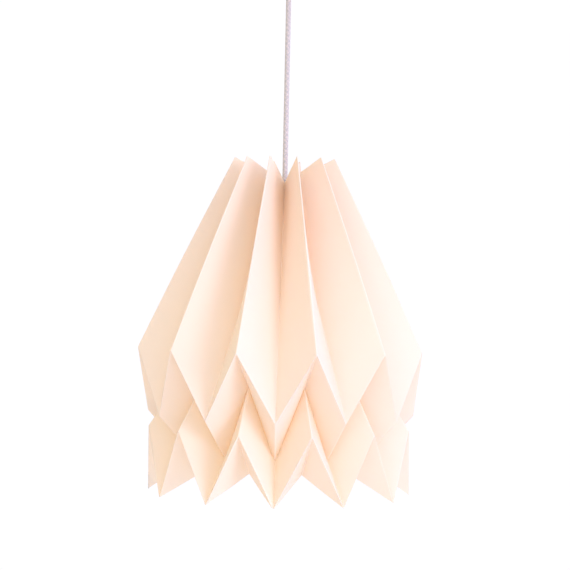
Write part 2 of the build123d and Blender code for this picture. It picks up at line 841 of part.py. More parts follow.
housing_low_z = bulb_cap_low_z - housing_h
waist_z = bulb_cap_low_z - housing_waist_h
collar_r = bulb_cap_bore_r - globe_fit
with BuildPart() as bulb_housing:
    spin(
        (collar_r - housing_wall, bulb_cap_low_z + collar_h),
        (collar_r, bulb_cap_low_z + collar_h),
        (collar_r, bulb_cap_low_z),
        (housing_top_r, bulb_cap_low_z),
        (housing_waist_r, waist_z),
        (housing_low_r, housing_low_z),
        (housing_low_r - housing_wall, housing_low_z),
        (housing_waist_r - housing_wall, waist_z),
        (collar_r - housing_wall, bulb_cap_low_z - housing_wall),
    )

lap_r = housing_low_r - housing_wall - globe_fit
lap_top_z = housing_low_z + globe_lap
housing_slope = (housing_low_r - housing_waist_r) / (waist_z - housing_low_z)
lap_outer_r = lap_r - globe_lap * housing_slope
globe_widest_z = housing_low_z - globe_shoulder
with BuildPart() as bulb_globe:
    with BuildSketch(Plane.XZ):
        with BuildLine():
            Line((0, globe_widest_z - globe_r + globe_wall), (0, globe_widest_z - globe_r))
            CenterArc((0, globe_widest_z), globe_r, start_angle=-90, arc_size=90)
            Polyline(
                (globe_r, globe_widest_z),
                (housing_low_r, housing_low_z),
                (lap_r, housing_low_z),
                (lap_outer_r, lap_top_z),
                (lap_outer_r - lap_wall, lap_top_z),
                (lap_outer_r - lap_wall, housing_low_z),
                (globe_r - globe_wall, globe_widest_z),
            )
            CenterArc((0, globe_widest_z), globe_r - globe_wall, start_angle=0, arc_size=-90)
        make_face()
    revolve(axis=Axis.Z)

board_r = lap_outer_r - board_t * housing_slope - board_play
with BuildPart() as led_board:
    disc(board_r, lap_top_z, lap_top_z + board_t)

with BuildPart() as led_chips:
    with BuildSketch(Plane.XY.offset(lap_top_z)):
        with PolarLocations(chip_ring_r, chips):
            RectangleRounded(chip_side, chip_side, chip_corner_r)
        with PolarLocations(chip_ring_r / 2, chips // 2):
            RectangleRounded(chip_side, chip_side, chip_corner_r)
    extrude(amount=-chip_t)

driver_low_z = lap_top_z + board_t
with BuildPart() as driver_board:
    with BuildSketch(Plane.XY.offset(driver_low_z)):
        Rectangle(driver_w, driver_t)
    extrude(amount=driver_len)

with BuildPart() as driver_parts:
    with BuildSketch(Plane.XZ.offset(driver_t / 2)):
        for across, up, wide, high in (driver_choke, driver_capacitor):
            with Locations((across, driver_low_z + up)):
                RectangleRounded(wide, high, edge_break)
    extrude(amount=driver_part_h)

# ---------------------------------------------------------------- one file for each piece
pieces = {
    "canopy_cup": canopy_cup,
    "mounting_bracket": mounting_bracket,
    "canopy_side_screws": canopy_side_screws,
    "canopy_cord_grip": canopy_cord_grip,
    "grip_locknut": grip_locknut,
    "grip_set_screw": grip_set_screw,
    "cord_tail": cord_tail,
    "terminal_block": terminal_block,
    "terminal_barrels": terminal_barrels,
    "terminal_block_screws": terminal_block_screws,
    "block_fixing_screw": block_fixing_screw,
    "rose_conductor_live": rose_conductor_live,
    "rose_conductor_neutral": rose_conductor_neutral,
    "cord_bend": cord_bend,
    "textile_cord": textile_cord,
    "holder_cap": holder_cap,
    "holder_clamp_body": holder_clamp_body,
    "holder_clamp_bar": holder_clamp_bar,
    "holder_clamp_screws": holder_clamp_screws,
    "holder_skirt": holder_skirt,
    "contact_insert": contact_insert,
    "screw_shell": screw_shell,
    "centre_contact": centre_contact,
    "shell_contact": shell_contact,
    "holder_terminals": holder_terminals,
    "holder_terminal_screws": holder_terminal_screws,
    "holder_conductor_live": holder_conductor_live,
    "holder_conductor_neutral": holder_conductor_neutral,
    "shade_sheet_front": shade_sheet_front,
    "shade_sheet_back": shade_sheet_back,
    "neck_string": neck_string,
    "neck_knot": neck_knot,
    "bulb_tip_contact": bulb_tip_contact,
    "bulb_insulator": bulb_insulator,
    "bulb_screw_cap": bulb_screw_cap,
    "bulb_housing": bulb_housing,
    "bulb_globe": bulb_globe,
    "led_board": led_board,
    "led_chips": led_chips,
    "driver_board": driver_board,
    "driver_parts": driver_parts,
}
for label, piece in pieces.items():
    piece.part.label = label
    export_step(piece.part, f"parts/{label}.step")

tail_length = -tail_top - (bend_z + cord_r + bend_gap)
hanging_length = bend_z - bend_start - sheath_end_z
print(f"straight cord: {hanging_length:.1f} mm hanging and {tail_length:.1f} mm in the rose, no bends")
print(f"shade: {2 * shoulder_r:.0f} mm across, {ridge_top_z - VALLEY[3][1]:.1f} mm high")
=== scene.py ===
import json
from math import cos, floor, hypot, pi, radians, sin, sqrt, tau

import bmesh
import bpy
import numpy as np
from bpy.props import FloatProperty, FloatVectorProperty, PointerProperty
from mathutils import Matrix, Vector, noise


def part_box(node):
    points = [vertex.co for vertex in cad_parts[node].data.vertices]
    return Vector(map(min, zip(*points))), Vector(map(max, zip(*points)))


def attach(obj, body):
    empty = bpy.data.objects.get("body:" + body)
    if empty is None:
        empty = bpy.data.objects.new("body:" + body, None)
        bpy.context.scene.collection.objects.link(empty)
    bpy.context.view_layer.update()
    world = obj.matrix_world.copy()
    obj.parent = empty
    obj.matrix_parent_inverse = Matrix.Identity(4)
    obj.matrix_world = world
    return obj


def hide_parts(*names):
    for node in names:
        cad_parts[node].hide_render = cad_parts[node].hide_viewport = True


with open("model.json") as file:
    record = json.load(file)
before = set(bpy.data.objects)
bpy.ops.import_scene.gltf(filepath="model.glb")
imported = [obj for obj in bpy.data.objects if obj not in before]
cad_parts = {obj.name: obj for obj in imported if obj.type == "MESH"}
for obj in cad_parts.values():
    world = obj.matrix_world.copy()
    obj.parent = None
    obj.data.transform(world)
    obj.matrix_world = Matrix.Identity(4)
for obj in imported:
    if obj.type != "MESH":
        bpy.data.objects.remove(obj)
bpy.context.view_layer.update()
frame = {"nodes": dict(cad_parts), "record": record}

bl_info = {
    "name": "Folded Paper Lamp",
    "version": (1, 0, 0),
    "blender": (4, 5, 0),
    "location": "3D View > Sidebar > Paper Lamp",
    "description": "Finishes a folded paper pendant lamp around its fixed frame",
    "category": "Object",
}

NODES = frame["nodes"]
MM = 0.001

# Sizes that the fixed frame gives.
CORD_LOW, CORD_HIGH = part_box("textile_cord")
STRING_LOW, STRING_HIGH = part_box("neck_string")
KNOT_LOW, KNOT_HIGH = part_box("neck_knot")
SHADE_LOW, SHADE_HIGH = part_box("shade_sheet_front")
CORD_R = (CORD_HIGH.x - CORD_LOW.x) / 2

# The shade's crease grid, in metres.
PLEATS = 12
SQUARE = 55 * MM
SHOULDER_R = 150 * MM
NECK_R = 4.2 * MM
NECK_DROP = 24.6 * MM
LONG_SQUARES = 4
PAPER_T = 0.3 * MM
RIDGE_W = 1.0 * MM
VALLEY_W = 0.6 * MM
FLAP_W = 12 * MM
HALF_STEP = pi / PLEATS
FRONT = -pi / 2  # a valley fold faces the front
BANDS = 4  # stretches of a fold from the top edge to the bottom edge
PANEL_PARTS = 8  # even parts of a panel from fold to fold
LONG_PARTS, SHORT_PARTS = 26, 7  # even parts of the long upper stretch and of each shorter one
LONG_CLOSE, SHORT_CLOSE = 0.0028, 0.011  # share between a fold and its close neighbour
SEED_STEP = (1.7, 2.3, 5.1)  # noise place of a corner, for each fold and for each row
RIDGE_SEED = 0.4
OUTWARD_SEED = (9.2, 3.1, 0.0)  # from a corner's sideways noise to its outward noise
STRAY_SHARE = 2.0  # noise of half a unit becomes the whole wander
CROWN_RISE = 0.22  # how far a fold stands out of its strip, as a share of the strip's width
FOLD_MASK_REACH = 0.02  # share of a panel that a fold's paler line, rubbed and with a painted highlight, takes up
LONG_MASK_REACH = 0.006  # the same, along a long panel
FLAP_SHARES = (0.0, 0.3, 0.65, 1.0)
FLAP_BEHIND = 1.6 * PAPER_T
RIPPLE_SCALE = 22.0  # waves a metre
RIPPLE_HEIGHT = 0.5 * MM
JOIN_WITHIN = 1e-6
COLLAPSED = 1e-7

# The braid's make-up.
BRAID_RINGS, BRAID_SIDES, BRAID_YARNS = 700, 72, 8
BRAID_LOW = 0.90  # radius between two yarns, as a share of the cord's radius
LIGHT_STRAND, MIDDLE_STRAND, DARK_STRAND = 0.85, 0.30, 0.15  # a strand's share of the light yarn's colour
YARN_ROUND, YARN_OVER = 0.6, 0.4  # shares of a yarn's roundness and of its crossings in the height

# The neck string and its knot.
LOOP_RINGS, LOOP_SIDES, LOOP_TWISTS = 240, 12, 22
KNOT_SIDES, KNOT_TWISTS = 10, 16
KNOT_STEPS, TAIL_STEPS = 90, 24
KNOT_LAP = 0.35  # how far the knot's turn runs past itself at each end, in radians
KNOT_FLAT = 0.6  # the knot's depth against its width
TAIL_LEAN = 0.55
TAIL_SHARE = 0.72  # a tail's length against the knot's whole height
TAIL_SWAY = 0.4 * MM
STRAND_SHARE = 0.8  # the knot's pulled strand against the loop's
PLY_DEPTH = 0.2

# Rolled threads of the lampholder and the bulb.
THREAD_PITCH = 3.629 * MM
THREAD_DEPTH = 0.9 * MM
THREAD_WALL = 0.4 * MM
THREAD_FADE = 1.5 * MM
THREAD_STEP = 0.3 * MM
THREAD_SIDES = 72
SHOULDER_IN = 2.4 * MM  # the bulb cap's inner rim inside its thread

# Noise sizes of the shared effects, in repeats a metre.
BROAD_SCALE = 38.0
SMEAR_SCALE = 160.0
STAIN_SCALE = 120.0
RING_SCALE = (60.0, 60.0, 4200.0)
CLOUD_SCALE = 55.0
FLECK_SCALE = 1900.0
FLECK_STRETCH = (1.0, 1.0, 0.35)
TOOTH_SCALE = 700.0
FUZZ_SCALE = 2600.0
YARN_TONE_SCALE = 420.0
YARN_HOLLOW_SHADE = (0.42, 0.40, 0.39, 1)  # painted shade: how much darker the hollows between the yarns are

# Heights of the bumps in the materials.
PAPER_BUMP = 0.2 * MM
YARN_BUMP = 0.2 * MM
MOULDED_BUMP = 0.1 * MM
METAL_BUMP = 0.05 * MM
FLOOR_BUMP = 1.0 * MM

# The stage.
LIGHT_BOUNCES = 24  # light glows between the folds only after many bounces
BRIGHT_SIDE = (1.0, -0.05, 0.2)  # towards the brighter side of the room
WARM_FROM, WARM_TO = -0.75, -0.2  # where the warm side gives way to the middle
COOL_FROM, COOL_TO = 0.2, 0.8  # where the middle gives way to the cool side
FLOOR_HALF, FLOOR_Z = 5.0, -2.4
# Offset from the shade's middle, size, share of the key's power and colour of each lamp.
LAMPS = {
    "key": ((1.35, -1.45, 0.3), 0.8, 1.0, (0.95, 0.81, 1.0)),
    "fill": ((-0.35, -1.6, -0.1), 1.2, 0.25, (0.94, 0.92, 1.0)),
    "rim": ((0.9, 1.3, 0.5), 0.9, 0.3, (1.0, 1.0, 1.0)),
}
SENSOR_WIDTH, LENS = 36.0, 115.2  # in millimetres, as the camera counts them
FAR_CLIP = 100.0
EYE_BELOW_TOP = 109.9 * MM
EYE_ASIDE = 2.4 * MM
EYE_DROP = 21.5 * MM  # how far the line of sight falls on its way to the lamp's axis


# ---------------------------------------------------------------- settings
class PaperSettings(bpy.types.PropertyGroup):
    """Looks of the folded sheets."""

    face: FloatVectorProperty(
        name="Face", description="Colour of the paper in front light", subtype="COLOR",
        default=(0.982, 0.962, 0.910), min=0, max=1,
    )
    through: FloatVectorProperty(
        name="Through", description="Colour of light that comes through the paper", subtype="COLOR",
        default=(1.0, 0.82, 0.45), min=0, max=1,
    )
    glow: FloatProperty(
        name="Glow", description="Share of the light that passes through the paper",
        default=0.34, min=0, max=1, subtype="FACTOR",
    )
    belly: FloatProperty(
        name="Belly", description="How far a long panel bows between its folds",
        default=0.0012, min=0, max=0.01, unit="LENGTH",
    )
    wander: FloatProperty(
        name="Wander", description="How far a hand-made fold strays from its true line",
        default=0.0007, min=0, max=0.004, unit="LENGTH",
    )


class CordSettings(bpy.types.PropertyGroup):
    """Looks of the braided cord and the neck string."""

    light_yarn: FloatVectorProperty(
        name="Light yarn", description="Colour of the lighter yarns", subtype="COLOR",
        default=(0.76, 0.66, 0.62), min=0, max=1,
    )
    dark_yarn: FloatVectorProperty(
        name="Dark yarn", description="Colour of the darker yarns", subtype="COLOR",
        default=(0.49, 0.49, 0.50), min=0, max=1,
    )
    lay: FloatProperty(
        name="Lay", description="Length in which a yarn goes once round the cord",
        default=0.013, min=0.004, max=0.05, unit="LENGTH",
    )


class StageSettings(bpy.types.PropertyGroup):
    """Floor, light and camera."""

    distance: FloatProperty(
        name="Distance", description="Camera's distance from the lamp's axis",
        default=1.901, min=0.5, max=10, unit="LENGTH",
    )
    turn: FloatProperty(
        name="Turn", description="Camera's turn round the lamp",
        default=radians(1.78), subtype="ANGLE",
    )
    roll: FloatProperty(
        name="Roll", description="Camera's roll", default=radians(1.2), subtype="ANGLE",
    )
    key_power: FloatProperty(
        name="Key", description="Power of the soft light at the right",
        default=12.0, min=0, unit="POWER",
    )
    cool_side: FloatVectorProperty(
        name="Cool side", description="Light from the brighter side of the room", subtype="COLOR",
        default=(1.10, 1.08, 1.42), min=0, max=3,
    )
    middle: FloatVectorProperty(
        name="Middle", description="Light from behind, in front and above", subtype="COLOR",
        default=(1.02, 1.01, 1.05), min=0, max=2,
    )
    warm_side: FloatVectorProperty(
        name="Warm side", description="Light from the dimmer side of the room", subtype="COLOR",
        default=(0.80, 0.72, 0.51), min=0, max=2,
    )


SETTINGS = {"paper_looks": PaperSettings, "cord_looks": CordSettings, "stage_looks": StageSettings}


# ---------------------------------------------------------------- node helpers
EFFECT_OUTPUTS = (
    ("Colour", "NodeSocketColor"),
    ("Roughness", "NodeSocketFloat"),
    ("Height", "NodeSocketFloat"),
)


def new_group(name, inputs):
    """Empty shader node group with the usual outputs; each input is a name, a type and a default."""
    group = bpy.data.node_groups.new(name, "ShaderNodeTree")
    for label, kind, default in inputs:
        socket = group.interface.new_socket(label, in_out="INPUT", socket_type=kind)
        socket.default_value = default
    for label, kind in EFFECT_OUTPUTS:
        group.interface.new_socket(label, in_out="OUTPUT", socket_type=kind)
    start = group.nodes.new("NodeGroupInput")
    end = group.nodes.new("NodeGroupOutput")
    return group, start, end


def add_node(tree, kind, links=None, **values):
    """New node with property values, and links from its input names to sockets or plain values."""
    node = tree.nodes.new(kind)
    for key, value in values.items():
        setattr(node, key, value)
    for key, value in (links or {}).items():
        socket = node.inputs[key]
        if isinstance(value, bpy.types.NodeSocket):
            tree.links.new(value, socket)
        else:
            socket.default_value = value
    return node


def ramp(tree, factor, low, high, out_low=0.0, out_high=1.0):
    """Output of a clamped map from one range to another."""
    links = {"Value": factor, "From Min": low, "From Max": high, "To Min": out_low, "To Max": out_high}
    return add_node(tree, "ShaderNodeMapRange", links).outputs["Result"]


def maths(tree, operation, a, b):
    """Output of one sum, product or difference."""
    return add_node(tree, "ShaderNodeMath", {0: a, 1: b}, operation=operation).outputs[0]


def mixed(tree, factor, a, b, blend="MIX"):
    """Colour output of a mix of two colours."""
    node = add_node(tree, "ShaderNodeMix", {}, data_type="RGBA", blend_type=blend)
    for index, value in ((0, factor), (6, a), (7, b)):
        if isinstance(value, bpy.types.NodeSocket):
            tree.links.new(value, node.inputs[index])
        else:
            node.inputs[index].default_value = value
    return node.outputs[2]


def noise_value(tree, place, scale, detail=3.0, rough=0.6):
    """Grey noise from 0 to 1."""
    links = {"Vector": place, "Scale": scale, "Detail": detail, "Roughness": rough}
    return add_node(tree, "ShaderNodeTexNoise", links).outputs["Fac"]


def varied(tree, value, amount):
    """A value from 0 to 1 turned into a change of at most half the amount up or down."""
    return maths(tree, "MULTIPLY", maths(tree, "SUBTRACT", value, 0.5), amount)


def scaled(tree, colour, level):
    """A colour made lighter or darker by a level."""
    node = add_node(tree, "ShaderNodeVectorMath", {0: colour, "Scale": level}, operation="SCALE")
    return node.outputs["Vector"]


def object_place(tree):
    """Place on the piece, in metres."""
    return add_node(tree, "ShaderNodeTexCoord").outputs["Object"]


def rgba(colour):
    """A colour with full opacity."""
    return (*colour[:3], 1.0)


# ---------------------------------------------------------------- shared surface effects
def speckle_group():
    """Fine mottling, faint dust and bump height for moulded, painted and pressed surfaces."""
    inputs = [
        ("Colour", "NodeSocketColor", (0.8, 0.8, 0.8, 1)),
        ("Dust Colour", "NodeSocketColor", (0.6, 0.57, 0.53, 1)),
        ("Grain Size", "NodeSocketFloat", 900.0),
        ("Mottle", "NodeSocketFloat", 0.05),
        ("Dust", "NodeSocketFloat", 0.1),
        ("Roughness", "NodeSocketFloat", 0.4),
        ("Roughness Spread", "NodeSocketFloat", 0.1),
    ]
    group, start, end = new_group("surface_speckle", inputs)
    place = object_place(group)
    fine = noise_value(group, place, start.outputs["Grain Size"], detail=2.0)
    broad = noise_value(group, place, BROAD_SCALE, detail=4.0)
    smear = noise_value(group, place, SMEAR_SCALE, detail=5.0, rough=0.7)
    level = maths(group, "ADD", varied(group, broad, start.outputs["Mottle"]), 1.0)
    toned = scaled(group, start.outputs["Colour"], level)
    normal = add_node(group, "ShaderNodeNewGeometry").outputs["Normal"]
    facing = add_node(group, "ShaderNodeSeparateXYZ", {"Vector": normal})
    upward = ramp(group, facing.outputs["Z"], 0.2, 1.0)
    patches = ramp(group, smear, 0.45, 0.7)
    settled = maths(group, "MULTIPLY", upward, patches)
    dust = maths(group, "MULTIPLY", settled, start.outputs["Dust"])
    colour = mixed(group, dust, toned, start.outputs["Dust Colour"])
    spread = varied(group, smear, start.outputs["Roughness Spread"])
    clean = maths(group, "ADD", start.outputs["Roughness"], spread)
    rough = maths(group, "ADD", clean, maths(group, "MULTIPLY", dust, 0.4))
    group.links.new(colour, end.inputs["Colour"])
    group.links.new(rough, end.inputs["Roughness"])
    group.links.new(fine, end.inputs["Height"])
    return group


def turning_group():
    """Fine rings and scratches of turned, rolled or drawn metal."""
    inputs = [
        ("Colour", "NodeSocketColor", (0.7, 0.7, 0.7, 1)),
        ("Tarnish", "NodeSocketColor", (0.4, 0.35, 0.3, 1)),
        ("Tarnish Amount", "NodeSocketFloat", 0.2),
        ("Roughness", "NodeSocketFloat", 0.3),
    ]
    group, start, end = new_group("drawn_metal", inputs)
    place = object_place(group)
    squeezed = add_node(group, "ShaderNodeMapping", {"Vector": place, "Scale": RING_SCALE})
    rings = noise_value(group, squeezed.outputs["Vector"], 1.0, detail=2.0)
    stains = ramp(group, noise_value(group, place, STAIN_SCALE, detail=5.0, rough=0.65), 0.45, 0.75)
    tarnish = maths(group, "MULTIPLY", stains, start.outputs["Tarnish Amount"])
    colour = mixed(group, tarnish, start.outputs["Colour"], start.outputs["Tarnish"])
    bright = maths(group, "ADD", start.outputs["Roughness"], varied(group, rings, 0.18))
    rough = maths(group, "ADD", bright, maths(group, "MULTIPLY", tarnish, 0.3))
    group.links.new(colour, end.inputs["Colour"])
    group.links.new(rough, end.inputs["Roughness"])
    group.links.new(rings, end.inputs["Height"])
    return group


def fibre_group():
    """Paper fibres: clouded formation, short flecks, folds made paler by rubbing and by a painted highlight,
    and a fine tooth.
    """
    inputs = [
        ("Colour", "NodeSocketColor", (0.9, 0.8, 0.7, 1)),
        ("Rubbed Colour", "NodeSocketColor", (1.0, 0.95, 0.92, 1)),
        ("Cloud", "NodeSocketFloat", 0.05),
        ("Rub", "NodeSocketFloat", 0.5),
        ("Fold", "NodeSocketFloat", 0.0),
    ]
    group, start, end = new_group("paper_fibre", inputs)
    place = object_place(group)
    cloud = noise_value(group, place, CLOUD_SCALE, detail=4.0)
    stretched = add_node(group, "ShaderNodeMapping", {"Vector": place, "Scale": FLECK_STRETCH})
    fleck = noise_value(group, stretched.outputs["Vector"], FLECK_SCALE, rough=0.7)
    tooth = noise_value(group, place, TOOTH_SCALE, detail=5.0, rough=0.75)
    tone = varied(group, cloud, start.outputs["Cloud"])
    level = maths(group, "ADD", maths(group, "ADD", tone, varied(group, fleck, 0.05)), 1.0)
    toned = scaled(group, start.outputs["Colour"], level)
    broken = ramp(group, tooth, 0.3, 0.6)
    # Paler folds: partly rubbed paper and partly a painted highlight, broken up by the tooth.
    worn_and_highlit = maths(group, "MULTIPLY", start.outputs["Fold"], start.outputs["Rub"])
    rub_and_highlight = maths(group, "MULTIPLY", worn_and_highlit, broken)
    group.links.new(mixed(group, rub_and_highlight, toned, start.outputs["Rubbed Colour"]), end.inputs["Colour"])
    group.links.new(ramp(group, tooth, 0.2, 0.8, 0.78, 0.96), end.inputs["Roughness"])
    group.links.new(maths(group, "ADD", tooth, maths(group, "MULTIPLY", fleck, 0.5)), end.inputs["Height"])
    return group


def yarn_group():
    """Yarns of two colours, with painted shade in the hollows between them, and a fine fuzz."""
    inputs = [
        ("Light Yarn", "NodeSocketColor", (0.7, 0.7, 0.7, 1)),
        ("Dark Yarn", "NodeSocketColor", (0.4, 0.4, 0.4, 1)),
        ("Strand", "NodeSocketFloat", 0.5),
        ("Crown", "NodeSocketFloat", 1.0),
    ]
    group, start, end = new_group("twisted_yarn", inputs)
    place = object_place(group)
    fuzz = noise_value(group, place, FUZZ_SCALE, rough=0.7)
    broad = noise_value(group, place, YARN_TONE_SCALE)
    yarn = mixed(group, start.outputs["Strand"], start.outputs["Dark Yarn"], start.outputs["Light Yarn"])
    # Painted shade: the yarn is darkened where the braid's crown is low, in the hollows between the yarns.
    hollow_shade = mixed(group, 1.0, yarn, YARN_HOLLOW_SHADE, "MULTIPLY")
    lit = mixed(group, ramp(group, start.outputs["Crown"], 0.1, 0.75), hollow_shade, yarn)
    level = ramp(group, maths(group, "ADD", fuzz, broad), 0.6, 1.4, 0.8, 1.2)
    group.links.new(scaled(group, lit, level), end.inputs["Colour"])
    group.links.new(ramp(group, fuzz, 0.2, 0.8, 0.7, 0.95), end.inputs["Roughness"])
    group.links.new(fuzz, end.inputs["Height"])
    return group


EFFECT_MAKERS = {"speckle": speckle_group, "turning": turning_group, "fibre": fibre_group, "yarn": yarn_group}
EFFECTS = {}


def effect(name):
    """The shared node group of that name, built once."""
    if name not in EFFECTS:
        EFFECTS[name] = EFFECT_MAKERS[name]()
    return EFFECTS[name]


def new_material(name):
    """Material with an empty node tree, its Principled node and its output."""
    material = bpy.data.materials.new(name)
    material.use_nodes = True
    tree = material.node_tree
    tree.nodes.clear()
    surface = tree.nodes.new("ShaderNodeBsdfPrincipled")
    output = tree.nodes.new("ShaderNodeOutputMaterial")
    tree.links.new(surface.outputs[0], output.inputs["Surface"])
    return material, tree, surface, output


def wire_effect(tree, surface, kind, strength, distance, **values):
    """Places a shared effect in a material and feeds it to the surface's colour, roughness and bump."""
    node = tree.nodes.new("ShaderNodeGroup")
    node.node_tree = effect(kind)
    for key, value in values.items():
        socket = node.inputs[key.replace("_", " ")]
        if isinstance(value, bpy.types.NodeSocket):
            tree.links.new(value, socket)
        else:
            socket.default_value = value
    tree.links.new(node.outputs["Colour"], surface.inputs["Base Color"])
    tree.links.new(node.outputs["Roughness"], surface.inputs["Roughness"])
    height = {"Height": node.outputs["Height"], "Strength": strength, "Distance": distance}
    bump = add_node(tree, "ShaderNodeBump", height)
    tree.links.new(bump.outputs["Normal"], surface.inputs["Normal"])
    return bump


def add_through_light(tree, surface, output, colour, bump, share):
    """Lets a share of the light pass through a thin wall in a colour."""
    links = {"Color": colour, "Normal": bump.outputs["Normal"]}
    through = add_node(tree, "ShaderNodeBsdfTranslucent", links)
    links = {0: share, 1: surface.outputs[0], 2: through.outputs[0]}
    both = add_node(tree, "ShaderNodeMixShader", links)
    tree.links.new(both.outputs[0], output.inputs["Surface"])


# ---------------------------------------------------------------- materials
def paper_material(looks):
    """Thin tinted paper, paler along its folds with rubbing and a painted highlight, which light passes
    through.
    """
    material, tree, surface, output = new_material("peach_paper")
    fold = add_node(tree, "ShaderNodeAttribute", attribute_name="fold").outputs["Fac"]
    # Paler along the folds: rubbed paper and a painted highlight.
    bump = wire_effect(
        tree, surface, "fibre", 0.22, PAPER_BUMP, Colour=rgba(looks.face),
        Rubbed_Colour=(1.0, 0.985, 0.975, 1), Cloud=0.035, Rub=0.55, Fold=fold,
    )
    surface.inputs["Specular IOR Level"].default_value = 0.22
    tint = rgba([a * b for a, b in zip(looks.face, looks.through)])
    add_through_light(tree, surface, output, tint, bump, looks.glow)
    return material


def yarn_material(name, light, dark, sheen):
    """Braided or twisted yarn, coloured by the strand that lies on top, with painted shade in its hollows."""
    material, tree, surface, _ = new_material(name)
    strand = add_node(tree, "ShaderNodeAttribute", attribute_name="strand").outputs["Fac"]
    crown = add_node(tree, "ShaderNodeAttribute", attribute_name="crown").outputs["Fac"]
    wire_effect(
        tree, surface, "yarn", 0.5, YARN_BUMP, Light_Yarn=rgba(light), Dark_Yarn=rgba(dark),
        Strand=strand, Crown=crown,
    )
    surface.inputs["Sheen Weight"].default_value = sheen
    surface.inputs["Sheen Roughness"].default_value = 0.5
    return material


def moulded_material(name, colour, roughness, grain=900.0, bump=0.12, dust=0.12, coat=0.0):
    """Plastic, enamel or porcelain."""
    material, tree, surface, _ = new_material(name)
    wire_effect(
        tree, surface, "speckle", bump, MOULDED_BUMP, Colour=rgba(colour), Grain_Size=grain,
        Mottle=0.06, Dust=dust, Roughness=roughness, Roughness_Spread=0.12,
    )
    surface.inputs["Coat Weight"].default_value = coat
    surface.inputs["Coat Roughness"].default_value = 0.15
    return material


def metal_material(name, colour, tarnish, amount, roughness):
    """Turned or rolled metal with patches of tarnish."""
    material, tree, surface, _ = new_material(name)
    wire_effect(
        tree, surface, "turning", 0.1, METAL_BUMP, Colour=rgba(colour), Tarnish=rgba(tarnish),
        Tarnish_Amount=amount, Roughness=roughness,
    )
    surface.inputs["Metallic"].default_value = 1.0
    return material


def opal_material():
    """Frosted diffuser of the bulb, which lets soft light through."""
    material, tree, surface, output = new_material("opal_diffuser")
    frost = (0.95, 0.945, 0.93)
    bump = wire_effect(
        tree, surface, "speckle", 0.08, MOULDED_BUMP, Colour=rgba(frost), Grain_Size=1500.0,
        Mottle=0.02, Dust=0.05, Roughness=0.38, Roughness_Spread=0.08,
    )
    add_through_light(tree, surface, output, rgba(frost), bump, 0.3)
    return material


def phosphor_material():
    """Yellow phosphor of the light-emitting chips, with a clear cover."""
    material, tree, surface, _ = new_material("chip_phosphor")
    wire_effect(
        tree, surface, "speckle", 0.2, MOULDED_BUMP, Colour=(0.92, 0.68, 0.16, 1), Grain_Size=2400.0,
        Mottle=0.1, Dust=0.0, Roughness=0.3, Roughness_Spread=0.1,
    )
    surface.inputs["Coat Weight"].default_value = 0.5
    return material


# Colour, roughness and, where they differ from the usual, the other looks of each moulded finish.
WHITE = (0.70, 0.695, 0.68)
MOULDED = {
    "rose_enamel": dict(colour=WHITE, roughness=0.32, grain=700.0, bump=0.1, dust=0.2, coat=0.3),
    "grip_plastic": dict(colour=(0.70, 0.70, 0.68), roughness=0.5, grain=1200.0, bump=0.18),
    "wire_brown": dict(colour=(0.10, 0.042, 0.02), roughness=0.42),
    "wire_blue": dict(colour=(0.015, 0.08, 0.30), roughness=0.42),
    "terminal_plastic": dict(colour=(0.78, 0.76, 0.69), roughness=0.48, grain=1100.0, bump=0.2),
    "holder_plastic": dict(colour=WHITE, roughness=0.28, grain=1400.0, bump=0.08, dust=0.1, coat=0.2),
    "porcelain": dict(colour=(0.84, 0.82, 0.77), roughness=0.62, grain=600.0, bump=0.3),
    "bulb_insulation": dict(colour=(0.012, 0.012, 0.014), roughness=0.25),
    "bulb_shell": dict(colour=(0.72, 0.72, 0.71), roughness=0.34, grain=1300.0, bump=0.08),
    "board_white": dict(colour=(0.82, 0.84, 0.83), roughness=0.35, grain=2000.0, bump=0.1),
    "board_green": dict(colour=(0.01, 0.13, 0.035), roughness=0.3, grain=2000.0, bump=0.1),
    "driver_plastic": dict(colour=(0.02, 0.02, 0.025), roughness=0.4, grain=1600.0, bump=0.2),
}

# Colour, tarnish, share of tarnish and roughness of each metal finish.
GREY = (0.33, 0.32, 0.30)
METALS = {
    "zinc_steel": dict(colour=(0.62, 0.63, 0.66), tarnish=GREY, amount=0.35, roughness=0.38),
    "screw_steel": dict(colour=(0.6, 0.6, 0.62), tarnish=GREY, amount=0.2, roughness=0.3),
    "brass": dict(colour=(0.80, 0.58, 0.24), tarnish=(0.36, 0.22, 0.10), amount=0.4, roughness=0.3),
    "bulb_cap_metal": dict(
        colour=(0.78, 0.78, 0.79), tarnish=(0.45, 0.44, 0.42), amount=0.25, roughness=0.34,
    ),
}


def build_materials():
    """Materials of the carried-over pieces, by the record's slot name."""
    cord = bpy.context.scene.cord_looks
    finishes = {name: moulded_material(name, **looks) for name, looks in MOULDED.items()}
    finishes.update({name: metal_material(name, **looks) for name, looks in METALS.items()})
    # The pieces in this finish carry no strand or crown layers, so they take the dark yarn with the hollows'
    # painted shade all over.
    finishes["cord_textile"] = yarn_material("cord_textile_ends", cord.light_yarn, cord.dark_yarn, 0.3)
    finishes["bulb_diffuser"] = opal_material()
    finishes["chip_phosphor"] = phosphor_material()
    return finishes


# ---------------------------------------------------------------- mesh helpers
def new_piece(name, points, faces, material, body, replaced=(), layers=None):
    """Smooth mesh piece that rides on a body and stands for the named nodes."""
    mesh = bpy.data.meshes.new(name)
    mesh.from_pydata([tuple(p) for p in points], [], faces)
    for label, values in (layers or {}).items():
        layer = mesh.attributes.new(label, "FLOAT", "POINT")
        layer.data.foreach_set("value", np.asarray(values, np.float32))
    mesh.validate()
    mesh.shade_smooth()
    mesh.materials.append(material)
    piece = bpy.data.objects.new(name, mesh)
    bpy.context.scene.collection.objects.link(piece)
    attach(piece, body)
    for node in replaced:
        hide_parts(node)
    return piece


